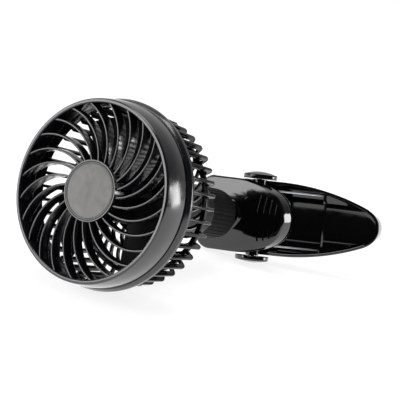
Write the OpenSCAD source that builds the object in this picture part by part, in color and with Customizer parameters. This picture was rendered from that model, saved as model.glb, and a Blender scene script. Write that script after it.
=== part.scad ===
// Clip-on car fan: a round fan head on a ball joint, held by a sprung clip with a thumb plate and a handle.
// Millimetres. The assembly lies on a table as it was found, +Z up, on the lower pin cap, a corner of the
// rear jaw and the back corner of the cage. The origin is on the table, below the middle of the bounding box.

/* [Fan head] */
// Radius of the bezel where it meets the rear ring
bezel_r = 64.2; // [63.8:0.1:64.8]
// How much smaller the bezel's front lip is than the bezel's back
lip_taper = 1.4; // [1:0.1:1.8]
// How far the rear ring's widest band stands out past the bezel
band_proud = 2.2; // [1.4:0.2:2.8]
// Distance from the outside of the bezel's back to the air duct inside it
bezel_wall = 3.9; // [3.8:0.1:4.3]
// Length of the bezel from its lip to the seam
bezel_len = 20; // [18:0.5:22]
// Length of the rear ring behind the seam
band_len = 7; // [6:0.5:8]
// Distance from the lip to the back of the cage
cage_depth = 66.5; // [64:0.5:69]
// Distance from the lip to the centre of the ball joint
head_len = 160; // [158:0.5:162]

/* [Front grille] */
// Number of curved spokes in the front grille
spoke_count = 24; // [16:1:28]
// Thickness of a spoke
spoke_t = 1.5; // [1.2:0.1:1.8]
// Depth of a spoke along the fan's axis
spoke_deep = 9; // [7:0.5:11]
// How far a spoke leans round between the hub and the bezel, in degrees
spoke_sweep = 33; // [28:1:38]
// Angle between a spoke and the radius where it leaves the hub, in degrees
spoke_lean = 11; // [6:1:15]
// Angle of the first spoke where it leaves the hub, in degrees
spoke_phase = 8; // [0:1:14]
// Radius of the grille's hub
grille_hub_r = 21; // [20.6:0.1:22]
// Width of the hub's rim round the badge
hub_rim = 1; // [0.8:0.1:2]

/* [Rear cage] */
// Number of ribs in the rear cage
rib_count = 40; // [36:2:44]
// Thickness of a cage rib
rib_t = 2.1; // [1.8:0.1:2.4]
// Depth of a cage rib
rib_deep = 3.6; // [3:0.1:4]
// How far the ribs stand out past the duct's radius
rib_proud = 0.2; // [-0.5:0.1:0.7]
// Radius of the rounded back corner of a rib
rib_corner = 4.5; // [3.8:0.1:5]

/* [Impeller and motor] */
// Gap between the blades' tips and the duct
tip_gap = 5.8; // [5.3:0.5:8.3]
// Length of a blade along the axis
blade_len = 25; // [22:0.5:27]
// Angle that a blade covers round the axis, in degrees
blade_wrap = 90; // [75:1:95]
// Angle of the first blade's back edge
blade_phase = 30; // [0:1:120]
// Radius of the impeller's hub
impeller_hub_r = 18; // [16:0.5:19]
// Radius of the motor's steel can
motor_r = 14.5; // [13:0.1:15]
// Length of the motor's steel can
motor_len = 34; // [30:0.5:35]
// Radius of the motor shaft
shaft_r = 1.5; // [1.2:0.05:1.7]

/* [Motor housing and ball joint] */
// Outer radius of the motor housing
housing_r = 19.5; // [19:0.1:20.5]
// Wall of the motor housing
housing_wall = 2; // [1.8:0.1:2.2]
// Radius of the ball
ball_r = 10; // [9.6:0.1:10.2]
// Radius of the ball's post
post_r = 4; // [3.6:0.1:4.2]
// Distance from the ball's centre to the face of the front jaw
ball_height = 26; // [25:0.5:28]
// How far the fan looks up from square to the front jaw, in degrees
head_tilt = 4.35; // [2:0.05:12]
// How far the fan looks towards the jaw tips, in degrees
head_pan = 8.4; // [2:0.05:12]

/* [Clip] */
// Half width of the clip's two shells
clip_half = 29.8; // [29.4:0.1:30.2]
// Wall of the clip's shells
clip_wall = 2.2; // [2:0.1:2.4]
// Angle between the two levers when the clip is shut, in degrees
clip_angle = 22; // [21:0.5:23]
// Distance from the pin to the front jaw's face
front_depth = 12.6; // [12.4:0.1:12.8]
// Distance from the pin to the rear jaw's back
rear_depth = 22; // [21.8:0.1:22.3]
// Distance from the pin to the jaw tips
jaw_len = 46; // [45:0.5:47]
// Length of the thumb plate from the pin
thumb_len = 30.2; // [29.5:0.1:31]
// Length of the long handle from the pin
handle_len = 102; // [99:0.5:104]
// Radius of the hinge pin
pin_r = 2.5; // [2.2:0.1:2.8]
// Radius of a pin cap
cap_r = 13.4; // [12.5:0.1:13.6]
// Thickness of a pin cap
cap_t = 3.3; // [3.2:0.1:3.8]
// Height of a pin cap's dome
cap_dome = 2.6; // [1.5:0.1:3]
// Distance along the front jaw from the pin to the ball's post
post_x = 20; // [19.5:0.1:20.5]

/* [Springs] */
// Radius of the spring wire
wire_r = 0.9; // [0.8:0.05:1]
// Mean radius of the coil
coil_r = 6.6; // [6.3:0.1:6.8]
// Step from one coil turn to the next
coil_pitch = 2.4; // [2.3:0.05:2.6]
// Whole turns in a coil
coil_turns = 4; // [3:1:4]

/* [Hidden] */
$fn = 96;

// How the assembly lies on the table: turned about X, then Y, then Z, and set down on it
rest_turn = [-12.67, -5.94, 0];
rest_shift = [35.29, 84.6, 36.05];

// Clearances
running_gap = 0.05;
seat_gap = 0.06;
body_gap = 0.35;
fixed_gap = 0.02;

// Radii of the fan's head that follow from the bezel's and the hub's
lip_r = bezel_r - lip_taper;
band_r = bezel_r + band_proud;
duct_r = bezel_r - bezel_wall;
cage_r = duct_r + rib_proud;
blade_r = duct_r - tip_gap;
badge_r = grille_hub_r - hub_rim;
outer_ring = cage_r - 9;

// Heights along the fan's axis, from the ball's centre towards the front
lip_z = head_len;
seam_z = lip_z - bezel_len;
band_z = seam_z - band_len;
back_z = lip_z - cage_depth;
back_t = 3.4;
plate_t = 3.6;
plate_r = 24.5;
seam_gap = 0.3;
tongue_t = 1.2;
tongue_len = 2.6;
badge_t = 2;

// Height of the impeller and the motor along the axis
blade_back_z = back_z + 16;
impeller_front_z = blade_back_z + blade_len + 1;
motor_front_z = back_z - 1.2;
motor_back_z = motor_front_z - motor_len;
bush_len = 4;
bush_r = 3.6;
end_cap_t = 3;
commutator_len = 6;
commutator_r = 3.4;
core_end = 8;
pole_w = 11.2;

// The three screws through the cage's centre plate: radius of their circle and of a screw, first one's angle
screw_ring = 21.6;
screw_r = 1.4;
screw_angle = 60;

// The motor housing: its neck round the ball's seat, the floor between seat and motor with the hole that the
// ball reaches into, and the shoulder
neck_r = 16.2;
neck_low = -3.9;
floor_z = 8.2;
floor_t = 2.6;
floor_hole_r = 6.3;
shoulder_z = motor_back_z - 28.3;
seat_r = 13.8;

// The switch behind the motor's end cap, its slot and the lead's gland in the housing's wall: angles round
// the axis, heights and sizes
switch_size = [7.6, 10, 17];
switch_x = 7.2;
slot_angle = 150;
slot_z = motor_back_z - end_cap_t - 11.3;
slot_len = 13;
slot_w = 6;
gland_angle = 215;
gland_z = slot_z - 2;
gland_r = 4.5;

// The clip's levers: the plane in which the pads meet leans by half the clip's angle and passes above the pin
lean = clip_angle / 2;
meet_y = 4.8;
mouth_gap = 0.9;
corner_r = 11;
front_rim = 4.9;
rear_rim = 6;
handle_flare = 7;

// Where each lever starts to narrow along its length, and the radius of the arc that narrows it
front_start = -15;
front_side_r = 62;
rear_start = 18;
rear_side_r = 175;
rear_half = clip_half - 0.5;

// Radius of the bow across the backs of both shells
barrel_r = 110;

// The rubber pads: distance from the jaw's tip, length along the jaw and half width
pad_start = 3.8;
pad_len = 12.2;
pad_half = 21;

// How much smaller the front jaw is at its face than at its rim, all round and more at the thumb plate's tip
face_inset = 1.2;
face_taper = 2;

// The rear jaw's ears on the pin, and the necks on the front jaw's sides that carry the pin under the caps
ear_r = 6;
ear_t = 2.1;
ear_out = clip_half - 4.4;
pin_neck_r = 5.2;

// The springs: height of the handle leg, and the ends of the two legs in the frames of their levers
coil_z = ear_out - ear_t - wire_r - 0.6;
leg_end = [51.5, 15.6];
thumb_leg_end = [9.5, -7.4];

// Places a piece that is written in the rear jaw's own frame: X along the handle, Z along the pin
module on_table() {
    translate(rest_shift) rotate(rest_turn) children();
}

// Places a piece that is written in the front jaw's own frame: X along the thumb plate, Z along the pin
module on_front_jaw() {
    on_table() rotate([0, 0, -clip_angle]) children();
}

// Places a piece that is written along the ball's post: +Z out of the front jaw, from the ball's centre
module on_post() {
    on_front_jaw() translate([-post_x, -front_depth - ball_height, 0]) rotate([90, 0, 0]) children();
}

// Places a piece that is written in the head's frame: +Z towards the front, from the ball's centre
module in_head() {
    on_front_jaw() translate([-post_x, -front_depth - ball_height, 0])
        rotate([90 - head_tilt, 0, -head_pan]) children();
}

// A body of revolution from a closed outline of [radius, height] points
module turned(outline) {
    rotate_extrude() polygon(outline);
}

// A tube between two heights
module tube(outer, inner, low, high) {
    translate([0, 0, low]) difference() {
        cylinder(r = outer, h = high - low);
        translate([0, 0, -1]) cylinder(r = inner, h = high - low + 2);
    }
}

// A wall curved as one arc: it leaves radius r0 at an angle lean to the radius and ends at r1, turned by
// sweep
module curved_bar(r0, r1, sweep, lean, t, low, high) {
    chord = [r1 * cos(sweep) - r0, r1 * sin(sweep)];
    half_turn = atan2(chord[1], chord[0]) - lean;
    arc_r = norm(chord) / (2 * sin(half_turn));
    translate([r0, 0, low]) rotate(lean) translate([0, arc_r, 0]) rotate(-90)
        rotate_extrude(angle = 2 * half_turn) translate([arc_r - t / 2, 0]) square([t, high - low]);
}

// The front grille: a conical bezel, curved spokes and a hub with a shallow seat for the badge
module front_grille() {
    tongue_r = duct_r + tongue_t + 0.2;
    spoke_top = lip_z - 1.4;
    hub_back = spoke_top - spoke_deep;
    color("dimgray") in_head() {
        turned([[tongue_r, seam_z], [bezel_r, seam_z], [lip_r, lip_z - 1.2], [lip_r - 1.2, lip_z],
            [duct_r + 0.2, lip_z], [duct_r - 0.6, lip_z - 1], [duct_r - 0.6, seam_z + tongue_len + 2],
            [duct_r, seam_z + tongue_len + 1], [tongue_r, seam_z + tongue_len + 0.6]]);
        for (i = [0 : spoke_count - 1])
            rotate(spoke_phase + i * 360 / spoke_count)
                curved_bar(grille_hub_r - 0.5, duct_r, spoke_sweep, spoke_lean, spoke_t, hub_back, spoke_top);
        difference() {
            translate([0, 0, hub_back - 0.5]) cylinder(r = grille_hub_r, h = lip_z - 0.1 - hub_back);
            translate([0, 0, lip_z - badge_t]) cylinder(r = badge_r + 0.1, h = badge_t + 1);
            translate([0, 0, hub_back - 1]) cylinder(r = grille_hub_r - 3, h = spoke_deep - 2);
        }
    }
}

// The bare round badge that fills the hub's seat
module hub_badge() {
    color("silver") in_head()
        turned([[0, lip_z - badge_t], [badge_r, lip_z - badge_t], [badge_r, lip_z - 0.6],
            [badge_r - 0.8, lip_z], [0, lip_z]]);
}

// One rib of the cage: along the duct, round the back corner and in to the outer ring, in the XZ plane
module cage_rib() {
    low = back_z;
    inner_r = cage_r - rib_deep;
    bend = rib_corner - rib_deep + 1.5;
    centre = [cage_r - rib_corner, low + rib_corner];
    outer_arc = [for (a = [0 : 15 : 90]) centre + rib_corner * [cos(a), -sin(a)]];
    inner_arc = [for (a = [90 : -30 : 0]) [inner_r - bend, low + back_t + bend] + bend * [cos(a), -sin(a)]];
    rotate([90, 0, 0]) translate([0, 0, -rib_t / 2]) linear_extrude(rib_t)
        polygon(concat([[inner_r + 1, band_z + 1], [duct_r + 2.5, band_z + 1]], outer_arc,
            [[outer_ring - 1.5, low], [outer_ring - 1.5, low + back_t]], inner_arc));
}

// The rear cage: the wide ring behind the seam, the ribs, the back's rings, curved bars and centre plate
module rear_cage() {
    middle_ring = (outer_ring + plate_r) / 2 - 2;
    top = back_z + back_t;
    color([0.13, 0.13, 0.14]) in_head() {
        turned([[duct_r, band_z], [band_r, band_z], [band_r, band_z + 3], [bezel_r + 0.6, seam_z - seam_gap],
            [duct_r + tongue_t, seam_z - seam_gap], [duct_r + tongue_t, seam_z + tongue_len - 0.2],
            [duct_r, seam_z + tongue_len - 0.2]]);
        for (i = [0 : rib_count - 1]) rotate(i * 360 / rib_count) cage_rib();
        tube(outer_ring + 1.8, outer_ring - 1.8, back_z, top);
        tube(middle_ring + 1.2, middle_ring - 1.2, back_z, top);
        for (i = [0 : rib_count - 1])
            rotate((i - 1.5) * 360 / rib_count)
                curved_bar(middle_ring, outer_ring, 13, 0, 1.9, back_z + 0.2, top - 0.2);
        for (i = [0 : 2 : rib_count - 1])
            rotate((i - 3.5) * 360 / rib_count)
                curved_bar(plate_r - 1, middle_ring, 17, 0, 2.1, back_z + 0.2, top - 0.2);
        difference() {
            translate([0, 0, back_z]) cylinder(r = plate_r, h = plate_t);
            translate([0, 0, back_z - 1]) cylinder(r = bush_r + 2.6, h = plate_t + 2);
            for (i = [0 : 2]) rotate(screw_angle + 120 * i) translate([screw_ring, 0, back_z - 1])
                cylinder(r = screw_r + 0.15, h = plate_t + 2);
        }
    }
}

// Three screws hold the cage's centre plate to the motor housing's flange
module cage_screws() {
    head_h = 1.6;
    color("silver") in_head()
        for (i = [0 : 2]) rotate(screw_angle + 120 * i) translate([screw_ring, 0, back_z + plate_t + 0.05]) {
            difference() {
                cylinder(r = 2.6, h = head_h);
                for (a = [0, 90]) rotate(a) translate([-1.7, -0.35, head_h - 0.8]) cube([3.4, 0.7, 1]);
            }
            translate([0, 0, -plate_t - 3.2]) cylinder(r = screw_r, h = plate_t + 3.4);
        }
}

// The impeller: a cup-shaped hub on a boss for the shaft and three broad screw-shaped blades
module impeller() {
    boss_r = 4.5;
    root_r = impeller_hub_r - 0.8;
    root_t = 1.1;
    tip_t = 2.6;
    color([0.08, 0.08, 0.09]) in_head() {
        difference() {
            translate([0, 0, blade_back_z + 1])
                cylinder(r = impeller_hub_r, h = impeller_front_z - blade_back_z - 1);
            translate([0, 0, blade_back_z]) cylinder(r = impeller_hub_r - 1.6, h = blade_len - 0.6);
            translate([0, 0, blade_back_z]) cylinder(r = shaft_r + fixed_gap, h = blade_len + 3);
        }
        tube(boss_r, shaft_r + fixed_gap, blade_back_z + 3, impeller_front_z - 1);
        for (i = [0 : 2]) rotate(blade_phase + 120 * i) translate([0, 0, blade_back_z])
            linear_extrude(height = blade_len, twist = -blade_wrap, slices = 14, $fn = 16)
                polygon([[root_r, -root_t], [blade_r, -tip_t], [blade_r, tip_t], [root_r, root_t]]);
    }
}

// The nut that holds the impeller on the shaft
module impeller_nut() {
    nut_h = 3;
    color("silver") in_head() difference() {
        translate([0, 0, impeller_front_z + 0.05]) cylinder(r = 4, h = nut_h, $fn = 6);
        translate([0, 0, impeller_front_z - 1]) cylinder(r = shaft_r + fixed_gap, h = nut_h + 2);
    }
}

// The motor shaft, from the rear bush to the impeller's nut
module motor_shaft() {
    color("silver") in_head() translate([0, 0, motor_back_z - bush_len])
        cylinder(r = shaft_r, h = impeller_front_z + 4 - motor_back_z + bush_len);
}

// The motor's wound core on the shaft: three pole pieces between two end turns and a commutator
module armature() {
    core_low = motor_back_z + commutator_len + 3;
    core_high = motor_front_z - core_end;
    core_r = motor_r - 4.2;
    color([0.72, 0.42, 0.2]) in_head() difference() {
        union() {
            for (i = [0 : 2]) rotate(120 * i) intersection() {
                translate([0, 0, core_low]) cylinder(r = core_r, h = core_high - core_low);
                translate([0, -pole_w / 2, core_low]) cube([core_r, pole_w, core_high - core_low]);
            }
            translate([0, 0, core_low - 2]) cylinder(r = core_r - 2, h = core_high - core_low + 4);
            translate([0, 0, motor_back_z + 3]) cylinder(r = commutator_r, h = commutator_len);
        }
        translate([0, 0, motor_back_z]) cylinder(r = shaft_r + fixed_gap, h = motor_len);
    }
}

// A bronze bush for the shaft
module bush(low) {
    color([0.7, 0.5, 0.25]) in_head() tube(bush_r, shaft_r + running_gap, low, low + bush_len);
}
module front_bush() {
    bush(motor_front_z - bush_len + 2);
}
module rear_bush() {
    bush(motor_back_z - bush_len + 1.4);
}

// The motor's steel can: a drum that is closed at the front round the front bush
module motor_can() {
    can_t = 1.2;
    color([0.62, 0.63, 0.65]) in_head() difference() {
        union() {
            translate([0, 0, motor_back_z]) cylinder(r = motor_r, h = motor_len);
            translate([0, 0, motor_front_z - 1]) cylinder(r = bush_r + 1.2, h = 3);
        }
        translate([0, 0, motor_back_z - 1]) cylinder(r = motor_r - can_t, h = motor_len + 1 - can_t);
        translate([0, 0, motor_front_z - 5]) cylinder(r = bush_r + fixed_gap, h = 10);
    }
}

// The motor's moulded end cap, which holds the rear bush
module motor_end_cap() {
    color([0.85, 0.84, 0.8]) in_head() difference() {
        union() {
            translate([0, 0, motor_back_z - end_cap_t]) cylinder(r = motor_r, h = end_cap_t - 0.05);
            translate([0, 0, motor_back_z - end_cap_t - 1.5]) cylinder(r = bush_r + 1.6, h = 3);
        }
        translate([0, 0, motor_back_z - end_cap_t - 3]) cylinder(r = bush_r + fixed_gap, h = 9);
        for (a = [0, 180]) rotate(a) translate([8, 0, motor_back_z - end_cap_t - 1]) cylinder(r = 1.2, h = 5);
    }
}

// The motor housing: a drum behind the cage with a flange, a floor and a neck that holds the ball's seat
module motor_housing() {
    inner = housing_r - housing_wall;
    color([0.11, 0.11, 0.12]) in_head() difference() {
        union() {
            translate([0, 0, shoulder_z]) cylinder(r = housing_r, h = back_z - shoulder_z - 0.05);
            translate([0, 0, back_z - 3.1]) cylinder(r = plate_r, h = 3.05);
            translate([0, 0, neck_low]) cylinder(r = neck_r, h = shoulder_z - neck_low + 1);
        }
        translate([0, 0, floor_z + floor_t]) cylinder(r = 13.9, h = shoulder_z - floor_z);
        translate([0, 0, shoulder_z + 2.2])
            cylinder(r = inner, h = motor_back_z - end_cap_t - shoulder_z - 4);
        translate([0, 0, motor_back_z - end_cap_t - 4]) cylinder(r = motor_r + 0.1, h = motor_len + 30);
        translate([0, 0, neck_low - 1]) cylinder(r = seat_r + seat_gap, h = floor_z - neck_low + 1);
        translate([0, 0, floor_z - 1]) cylinder(r = floor_hole_r, h = floor_t + 2);
        for (i = [0 : 2]) rotate(screw_angle + 120 * i) translate([screw_ring, 0, back_z - 4])
            cylinder(r = screw_r + fixed_gap, h = 5);
        rotate(slot_angle) translate([inner - 3, -slot_w / 2, slot_z - slot_len / 2])
            cube([8, slot_w, slot_len]);
        rotate(gland_angle) translate([inner - 3, 0, gland_z]) rotate([0, 90, 0])
            cylinder(r = gland_r + fixed_gap, h = 8);
    }
}

// The speed switch's body inside the housing, behind the slot
module speed_switch() {
    color([0.2, 0.2, 0.22]) in_head() rotate(slot_angle)
        translate([switch_x, -switch_size[1] / 2, slot_z - switch_size[2] / 2]) cube(switch_size);
}

// The switch's sliding button, which stands out of the slot
module switch_slider() {
    slider_x = switch_x + switch_size[0] + 0.2;
    outer = housing_r + 1.8;
    color([0.6, 0.6, 0.62]) in_head() rotate(slot_angle) difference() {
        translate([slider_x, -slot_w / 2 + 0.4, slot_z - slot_len / 2 + 0.4])
            cube([outer - slider_x, slot_w - 0.8, 6.2]);
        for (k = [0 : 2])
            translate([outer - 0.6, -slot_w, slot_z - 4.6 + 1.5 * k]) cube([1, 2 * slot_w, 0.6]);
    }
}

// The gland in the housing's wall through which the supply lead comes in
module cord_gland() {
    inner = housing_r - housing_wall;
    color([0.07, 0.07, 0.07]) in_head() rotate(gland_angle) translate([inner - 1.2, 0, gland_z])
        rotate([0, 90, 0]) difference() {
            union() {
                cylinder(r = gland_r, h = 4.4);
                translate([0, 0, 4]) cylinder(r = 3.4, h = 7);
            }
            translate([0, 0, -1]) cylinder(r = 2, h = 14);
        }
}

// The split seat that grips the ball and turns in the housing's neck
module ball_seat() {
    color([0.75, 0.75, 0.72]) in_head() difference() {
        translate([0, 0, neck_low - 0.7]) cylinder(r = seat_r, h = floor_z - neck_low + 0.5);
        sphere(r = ball_r + seat_gap);
    }
}

// The lock collar round the neck: ribbed grip, closed in behind the ball
module lock_collar() {
    collar_r = housing_r - 0.1;
    lip_low = -7.4;
    dome = [for (a = [0 : 15 : 90]) [11.6 + (collar_r - 11.6) * cos(a), 2 + (lip_low - 2) * sin(a)]];
    inside_r = neck_r + 0.2;
    inside = [[10.2, lip_low], [9.3, neck_low - 0.9], [inside_r, neck_low - 0.9],
        [inside_r, shoulder_z - 0.3]];
    color([0.05, 0.05, 0.05]) in_head() difference() {
        turned(concat([[collar_r, shoulder_z - 0.3]], dome, inside));
        for (i = [0 : 35]) rotate(10 * i) translate([collar_r + 0.35, 0, 1.5])
            cylinder(r = 0.8, h = shoulder_z - 4);
    }
}

// The ball and its post, which turns in the front jaw's boss
module ball_stud() {
    color([0.35, 0.35, 0.37]) on_post() {
        sphere(r = ball_r);
        translate([0, 0, -ball_height - 7]) cylinder(r = post_r, h = ball_height + 7);
    }
}

// The nut that holds the post inside the front jaw
module stud_nut() {
    color([0.62, 0.62, 0.64]) on_post() difference() {
        translate([0, 0, -ball_height - 6.85]) cylinder(r = 8, h = 3.6);
        translate([0, 0, -ball_height - 8]) cylinder(r = post_r + fixed_gap, h = 6);
    }
}

// Outline of a lever seen square to its face, drawn in by inset: a square jaw with round corners, then from
// x = start one arc of radius side_r that narrows the lever, and a round end that the arc runs into at
// x = tip
function lever_side(half, start, side_r, tip, inset) = let(
        end_r = (pow(side_r, 2) - pow(tip - start, 2) - pow(side_r - half, 2)) / (2 * (side_r - tip + start)),
        turn = atan2(tip - end_r - start, side_r - half)) concat(
    [for (a = [0 : 15 : 90]) [-jaw_len + inset + (corner_r - inset) * (1 - cos(a)),
        half - corner_r + (corner_r - inset) * sin(a)]],
    [for (i = [0 : 8]) let(a = turn * i / 8)
        [start + (side_r - inset) * sin(a), half - side_r + (side_r - inset) * cos(a)]],
    [for (i = [1 : 8]) let(a = turn + (90 - turn) * i / 8)
        [tip - end_r + (end_r - inset) * sin(a), (end_r - inset) * cos(a)]]);
function lever_outline(side) = concat(side, [for (i = [len(side) - 2 : -1 : 0]) [side[i][0], -side[i][1]]]);

// Raises an outline in the XZ plane from one Y to another
module slab(low, high) {
    translate([0, high, 0]) rotate([90, 0, 0]) linear_extrude(high - low) children();
}

// Raises an outline in the XY plane to both sides of the clip's middle
module across(half) {
    translate([0, 0, -half]) linear_extrude(2 * half) children();
}

// The bow across a shell's back, as a long cylinder along the lever
module bow(centre_y, r) {
    translate([0, centre_y, 0]) rotate([0, 90, 0]) cylinder(r = r, h = 4 * handle_len, center = true);
}

// The front jaw's outline, which is smaller at its face than at its rim, and its side view
module front_outline(tip, inset) {
    polygon(lever_outline(lever_side(clip_half, front_start, front_side_r, tip, inset)));
}
module front_block(inset) {
    hull() {
        slab(-front_depth, 0.1 - front_depth) front_outline(thumb_len - face_taper, inset + face_inset);
        slab(front_rim, front_rim + 0.1) front_outline(thumb_len, inset);
    }
}
front_profile = [[-jaw_len - 1, -front_depth], [thumb_len + 1, -front_depth], [thumb_len + 1, front_rim],
    [0, front_rim], [-2, meet_y - mouth_gap], [-jaw_len - 1, meet_y - mouth_gap - (jaw_len + 1) * tan(lean)]];

// The front jaw: a bowed shell with a boss for the ball's post, a thumb dish with ridges and two pin holes
module front_jaw() {
    dish_x = 7.4;
    dish_r = 18.8;
    dish_deep = 2.4;
    sphere_r = (dish_r * dish_r + dish_deep * dish_deep) / (2 * dish_deep);
    boss_r = 10;
    boss_h = 8;
    color([0.04, 0.04, 0.045]) on_front_jaw() difference() {
        union() {
            difference() {
                intersection() {
                    front_block(0);
                    across(clip_half + 1) polygon(front_profile);
                    bow(barrel_r - front_depth, barrel_r);
                }
                intersection() {
                    front_block(clip_wall);
                    bow(barrel_r - front_depth, barrel_r - clip_wall);
                }
            }
            translate([dish_x, -front_depth + 0.4, 0]) rotate([-90, 0, 0]) cylinder(r = dish_r, h = 3.6);
            for (side = [-1, 1])
                translate([0, 0, side * (clip_half + ear_out) / 2])
                    cylinder(r = pin_neck_r, h = clip_half - ear_out, center = true);
            translate([-post_x, -front_depth + 3.2, 0]) rotate([90, 0, 0])
                cylinder(r = boss_r, h = boss_h + 3.2);
        }
        translate([dish_x, -front_depth - sphere_r + dish_deep, 0]) sphere(r = sphere_r);
        translate([-post_x, -front_depth + 5, 0]) rotate([90, 0, 0])
            cylinder(r = post_r + running_gap, h = boss_h + 8);
        cylinder(r = pin_r + running_gap, h = 4 * clip_half, center = true);
        across(ear_out + body_gap) circle(r = ear_r + 0.4);
    }
}

// The rear jaw's outline, which is longer at its back than at its rim, and its side view
module rear_outline(tip, inset) {
    polygon(lever_outline(lever_side(rear_half, rear_start, rear_side_r, tip, inset)));
}
module rear_block(inset) {
    hull() {
        slab(0, 0.1) rear_outline(handle_len - handle_flare, inset);
        slab(rear_depth, rear_depth + 0.1) rear_outline(handle_len, inset);
    }
}
function rear_back(inset) = [[handle_len + 1, rear_depth - 6.5 - inset],
    [handle_len - 7, rear_depth - 3.5 - inset], [handle_len - 22, rear_depth - 1 - inset],
    [handle_len - 42, rear_depth - inset], [-jaw_len - 1, rear_depth - inset]];

// One straight rib: its low corner and its size
module rib(corner, size) {
    translate(corner) cube(size);
}

// The rear jaw: a boat-shaped shell with two ears for the pin, spring channels and stiffening ribs
module rear_jaw() {
    mouth = [[-jaw_len - 1, meet_y + mouth_gap + (jaw_len + 1) * tan(lean)], [-2, meet_y + mouth_gap],
        [0, rear_rim], [handle_len + 1, rear_rim]];
    rib_t = 1.6;
    rib_h = 9;
    channel_len = 33;
    floor_y = rear_depth - clip_wall - 0.6;
    wall_x = leg_end[0] + 1.5;
    ear_top = rear_depth - 3;
    color([0.05, 0.05, 0.055]) on_table() difference() {
        union() {
            difference() {
                intersection() {
                    rear_block(0);
                    across(clip_half + 1) polygon(concat(mouth, rear_back(0)));
                    bow(rear_depth - barrel_r, barrel_r);
                }
                intersection() {
                    rear_block(clip_wall);
                    across(clip_half + 1)
                        polygon(concat([[-jaw_len - 1, -2], [handle_len + 1, -2]], rear_back(clip_wall)));
                    bow(rear_depth - barrel_r, barrel_r - clip_wall);
                }
            }
            for (side = [-1, 1]) {
                translate([0, 0, side * (ear_out - ear_t / 2) - ear_t / 2]) linear_extrude(ear_t) {
                    circle(r = ear_r);
                    polygon([[-3.2, 5.1], [3.2, 5.1], [13, 15], [13, ear_top], [-13, ear_top], [-13, 15]]);
                }
                for (z = [coil_z - 6.8, ear_out - 1])
                    rib([wall_x - channel_len, floor_y - rib_h, side * z - rib_t / 2],
                        [channel_len, rib_h + 0.8, rib_t]);
                rib([leg_end[0] + 0.1, floor_y - rib_h, side * (coil_z - 1.8) - 4.6],
                    [rib_t, rib_h + 0.8, 9.2]);
                rib([wall_x + 1, floor_y - rib_h + 1, side * 13 - rib_t / 2], [35, rib_h - 2, rib_t]);
            }
            rib([wall_x, floor_y - rib_h, -18], [rib_t, rib_h + 0.8, 36]);
        }
        cylinder(r = pin_r + fixed_gap, h = 4 * clip_half, center = true);
    }
}

// A rubber pad with cross ridges, bowed at its back like the shell it lies in; face says which way it looks
module pad(depth, face) {
    x0 = pad_start - jaw_len;
    x1 = x0 + pad_len;
    ridge = (x1 - x0) / 5;
    top = [for (i = [0 : 4], part = [0, 0.55, 0.56, 0.95]) let(x = x0 + (i + part) * ridge)
        [x, face * meet_y - 0.12 + x * tan(lean) - (part > 0.555 ? 0.7 : 0)]];
    scale([1, face, 1]) intersection() {
        across(pad_half) polygon(concat([[x1, -depth], [x0, -depth]], top));
        bow(barrel_r - depth, barrel_r - clip_wall - fixed_gap);
    }
}
module front_pad() {
    color([0.1, 0.1, 0.1]) on_front_jaw() pad(front_depth, 1);
}
module rear_pad() {
    color([0.1, 0.1, 0.1]) on_table() pad(rear_depth, -1);
}

// The steel hinge pin across the clip
module hinge_pin() {
    color("silver") on_table() cylinder(r = pin_r, h = 2 * (clip_half + 2.6), center = true);
}

// A round cap on an end of the pin
module pin_cap(side) {
    low = clip_half + 0.3;
    dome_r = (cap_r * cap_r + cap_dome * cap_dome) / (2 * cap_dome);
    color([0.06, 0.06, 0.065]) on_table() scale([1, 1, side]) difference() {
        intersection() {
            translate([0, 0, low]) cylinder(r = cap_r, h = cap_t + cap_dome);
            translate([0, 0, low + cap_t + cap_dome - dome_r]) sphere(r = dome_r);
        }
        cylinder(r = pin_r + fixed_gap, h = clip_half + 2.7);
    }
}
module upper_pin_cap() {
    pin_cap(1);
}
module lower_pin_cap() {
    pin_cap(-1);
}

// The spring wire's path: the leg in the handle, the coil round the pin, the leg under the thumb plate
function turned_by(p, a) = [p[0] * cos(a) - p[1] * sin(a), p[0] * sin(a) + p[1] * cos(a)];
thumb_leg = turned_by(thumb_leg_end, -clip_angle);
leg_angle = atan2(leg_end[1], leg_end[0]) + acos(coil_r / norm(leg_end));
thumb_angle = atan2(thumb_leg[1], thumb_leg[0]) - acos(coil_r / norm(thumb_leg)) + 360;
coil_sweep = thumb_angle - leg_angle + 360 * coil_turns;
coil_steps = ceil(coil_sweep / 45);
coil_low = coil_z - coil_pitch * coil_sweep / 360;
wire_path = concat([[leg_end[0], leg_end[1], coil_z]],
    [for (i = [0 : coil_steps]) let(a = leg_angle + coil_sweep * i / coil_steps)
        [coil_r * cos(a), coil_r * sin(a), coil_z - coil_pitch * coil_sweep * i / coil_steps / 360]],
    [[thumb_leg[0], thumb_leg[1], coil_low]]);

// The wire's least gap to itself, measured between points along the path that are more than half a turn apart
fine_path = [for (i = [0 : len(wire_path) - 2], k = [0 : 0.25 : 0.75])
    wire_path[i] * (1 - k) + wire_path[i + 1] * k];
echo(spring_gap_to_itself = min([for (i = [4 : len(fine_path) - 17], j = [i + 16 : len(fine_path) - 1])
    norm(fine_path[i] - fine_path[j])]) - 2 * wire_r);

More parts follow.
